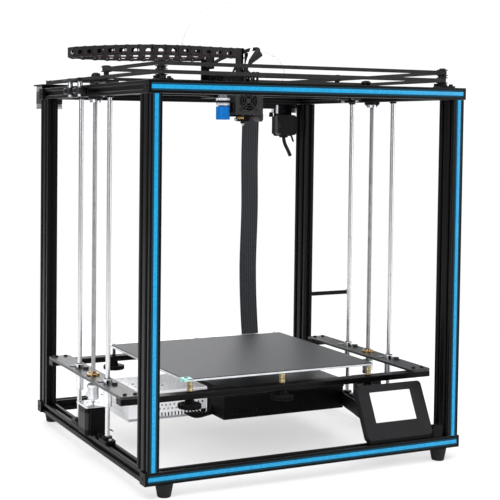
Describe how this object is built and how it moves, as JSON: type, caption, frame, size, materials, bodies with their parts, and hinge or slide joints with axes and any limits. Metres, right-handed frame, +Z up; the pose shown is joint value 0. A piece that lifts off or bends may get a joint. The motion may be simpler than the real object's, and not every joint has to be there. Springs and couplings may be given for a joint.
{
  "type": "fused filament 3-D printer",
  "caption": "Open-frame desktop 3-D printer: black slotted-profile cube, belt-driven head on a sliding gantry, twin-screw lifting bed, controller, supply, screen and spool arm.",
  "frame": {"origin": "centre of the underside of the front left rubber foot, where it stands on the table", "axes": "+Z up; +Y from the front of the machine to its back; +X to the machine's right as seen from the front"},
  "size_m": [0.713, 0.574, 0.7984],
  "materials": {
    "black_anodised_profile": "black anodised, fine brushed sheen",
    "blue_slot_cover": "semi-gloss sky-blue extruded plastic",
    "foot_rubber": "matt black rubber",
    "motor_black": "satin black paint over laminated steel",
    "polished_rod": "ground and chromed",
    "screw_steel": "rolled steel thread",
    "bed_plate": "milled silver edge under a dark matt build surface",
    "black_plastic": "moulded black plastic, fine texture",
    "black_sheet_metal": "black powder coat",
    "hot_end_metal": "turned aluminium with a brass nozzle",
    "perforated_silver": "perforated silver sheet",
    "white_tube": "translucent white fluoropolymer",
    "belt_rubber": "black toothed rubber"
  },
  "bodies": {
    "frame": {"bowden_tube": "white_tube", "control_box": "black_sheet_metal", "drive_belts": "belt_rubber", "extruder": "motor_black", "foot_front_left": "foot_rubber", "foot_front_right": "foot_rubber", "foot_rear_left": "foot_rubber", "foot_rear_right": "foot_rubber", "front_bottom_bar": "black_anodised_profile", "front_left_post": "black_anodised_profile", "front_right_post": "black_anodised_profile", "front_top_bar": "black_anodised_profile", "guide_rod_left_front": "polished_rod", "guide_rod_left_rear": "polished_rod", "guide_rod_right_front": "polished_rod", "guide_rod_right_rear": "polished_rod", "left_bottom_bar": "black_anodised_profile", "left_rail": "black_anodised_profile", "power_supply": "perforated_silver", "rear_bottom_bar": "black_anodised_profile", "rear_left_post": "black_anodised_profile", "rear_right_post": "black_anodised_profile", "rear_top_bar": "black_anodised_profile", "right_bottom_bar": "black_anodised_profile", "right_rail": "black_anodised_profile", "screen_housing": "black_plastic", "slot_cover_bottom": "blue_slot_cover", "slot_cover_left": "blue_slot_cover", "slot_cover_right": "blue_slot_cover", "slot_cover_top": "blue_slot_cover", "spool_holder": "black_sheet_metal", "xy_motor_left": "motor_black", "xy_motor_right": "motor_black", "z_motor_left": "motor_black", "z_motor_right": "motor_black"},
    "bed": {"lift_plate_left": "black_anodised_profile", "lift_plate_right": "black_anodised_profile", "bed_bar_front": "black_anodised_profile", "bed_bar_rear": "black_anodised_profile", "heated_bed": "bed_plate"},
    "screw_left": {"lead_screw_left": "screw_steel"},
    "screw_right": {"lead_screw_right": "screw_steel"},
    "gantry": {"gantry_beam": "black_anodised_profile", "carriage_left": "black_sheet_metal", "carriage_right": "black_sheet_metal", "cable_chain": "black_plastic"},
    "head": {"head_carriage": "black_sheet_metal", "fan_shroud": "black_plastic", "hot_end": "hot_end_metal"},
    "fan": {"fan_rotor": "black_plastic"},
    "knob_front_left": {"level_knob_front_left": "black_plastic"},
    "knob_front_middle": {"level_knob_front_middle": "black_plastic"},
    "knob_front_right": {"level_knob_front_right": "black_plastic"},
    "knob_rear_left": {"level_knob_rear_left": "black_plastic"},
    "knob_rear_middle": {"level_knob_rear_middle": "black_plastic"},
    "knob_rear_right": {"level_knob_rear_right": "black_plastic"},
    "wheel_left_front_body": {"wheel_left_front": "black_plastic"},
    "wheel_left_rear_body": {"wheel_left_rear": "black_plastic"},
    "wheel_right_front_body": {"wheel_right_front": "black_plastic"},
    "wheel_right_rear_body": {"wheel_right_rear": "black_plastic"}
  },
  "joints": [
    {"name": "bed_lift", "type": "slide", "parent": "frame", "child": "bed", "axis": [0, 0, 1], "range_m": [0, 0.4]},
    {"name": "screw_left_turn", "type": "hinge", "parent": "frame", "child": "screw_left", "pos_m": [-0.023, 0.245, 0.321], "axis": [0, 0, 1], "continuous": true},
    {"name": "screw_right_turn", "type": "hinge", "parent": "frame", "child": "screw_right", "pos_m": [0.541, 0.245, 0.321], "axis": [0, 0, 1], "continuous": true},
    {"name": "gantry_slide", "type": "slide", "parent": "frame", "child": "gantry", "axis": [0, 1, 0], "range_m": [-0.165, 0.145], "deforming": ["drive_belts", "bowden_tube"]},
    {"name": "head_slide", "type": "slide", "parent": "gantry", "child": "head", "axis": [1, 0, 0], "range_m": [-0.165, 0.165], "deforming": ["cable_chain"]},
    {"name": "fan_turn", "type": "hinge", "parent": "head", "child": "fan", "pos_m": [0.259, 0.2235, 0.615], "axis": [0, 1, 0], "continuous": true},
    {"name": "knob_front_left_turn", "type": "hinge", "parent": "bed", "child": "knob_front_left", "pos_m": [0.085, 0.088, 0.113], "axis": [0, 0, 1], "continuous": true},
    {"name": "knob_front_middle_turn", "type": "hinge", "parent": "bed", "child": "knob_front_middle", "pos_m": [0.259, 0.088, 0.113], "axis": [0, 0, 1], "continuous": true},
    {"name": "knob_front_right_turn", "type": "hinge", "parent": "bed", "child": "knob_front_right", "pos_m": [0.433, 0.088, 0.113], "axis": [0, 0, 1], "continuous": true},
    {"name": "knob_rear_left_turn", "type": "hinge", "parent": "bed", "child": "knob_rear_left", "pos_m": [0.085, 0.416, 0.113], "axis": [0, 0, 1], "continuous": true},
    {"name": "knob_rear_middle_turn", "type": "hinge", "parent": "bed", "child": "knob_rear_middle", "pos_m": [0.259, 0.416, 0.113], "axis": [0, 0, 1], "continuous": true},
    {"name": "knob_rear_right_turn", "type": "hinge", "parent": "bed", "child": "knob_rear_right", "pos_m": [0.433, 0.416, 0.113], "axis": [0, 0, 1], "continuous": true},
    {"name": "wheel_left_front_roll", "type": "hinge", "parent": "gantry", "child": "wheel_left_front_body", "pos_m": [-0.04375, 0.264, 0.628], "axis": [0, 0, 1], "continuous": true},
    {"name": "wheel_left_rear_roll", "type": "hinge", "parent": "gantry", "child": "wheel_left_rear_body", "pos_m": [-0.04375, 0.312, 0.628], "axis": [0, 0, 1], "continuous": true},
    {"name": "wheel_right_front_roll", "type": "hinge", "parent": "gantry", "child": "wheel_right_front_body", "pos_m": [0.56175, 0.264, 0.628], "axis": [0, 0, 1], "continuous": true},
    {"name": "wheel_right_rear_roll", "type": "hinge", "parent": "gantry", "child": "wheel_right_rear_body", "pos_m": [0.56175, 0.312, 0.628], "axis": [0, 0, 1], "continuous": true}
  ],
  "couplings": [
    {"joint": "screw_left_turn", "follows": "bed_lift", "rad_per_m": -785.4},
    {"joint": "screw_right_turn", "follows": "bed_lift", "rad_per_m": -785.4},
    {"joint": "wheel_left_front_roll", "follows": "gantry_slide", "rad_per_m": -94.34},
    {"joint": "wheel_left_rear_roll", "follows": "gantry_slide", "rad_per_m": -94.34},
    {"joint": "wheel_right_front_roll", "follows": "gantry_slide", "rad_per_m": 94.34},
    {"joint": "wheel_right_rear_roll", "follows": "gantry_slide", "rad_per_m": 94.34}
  ]
}
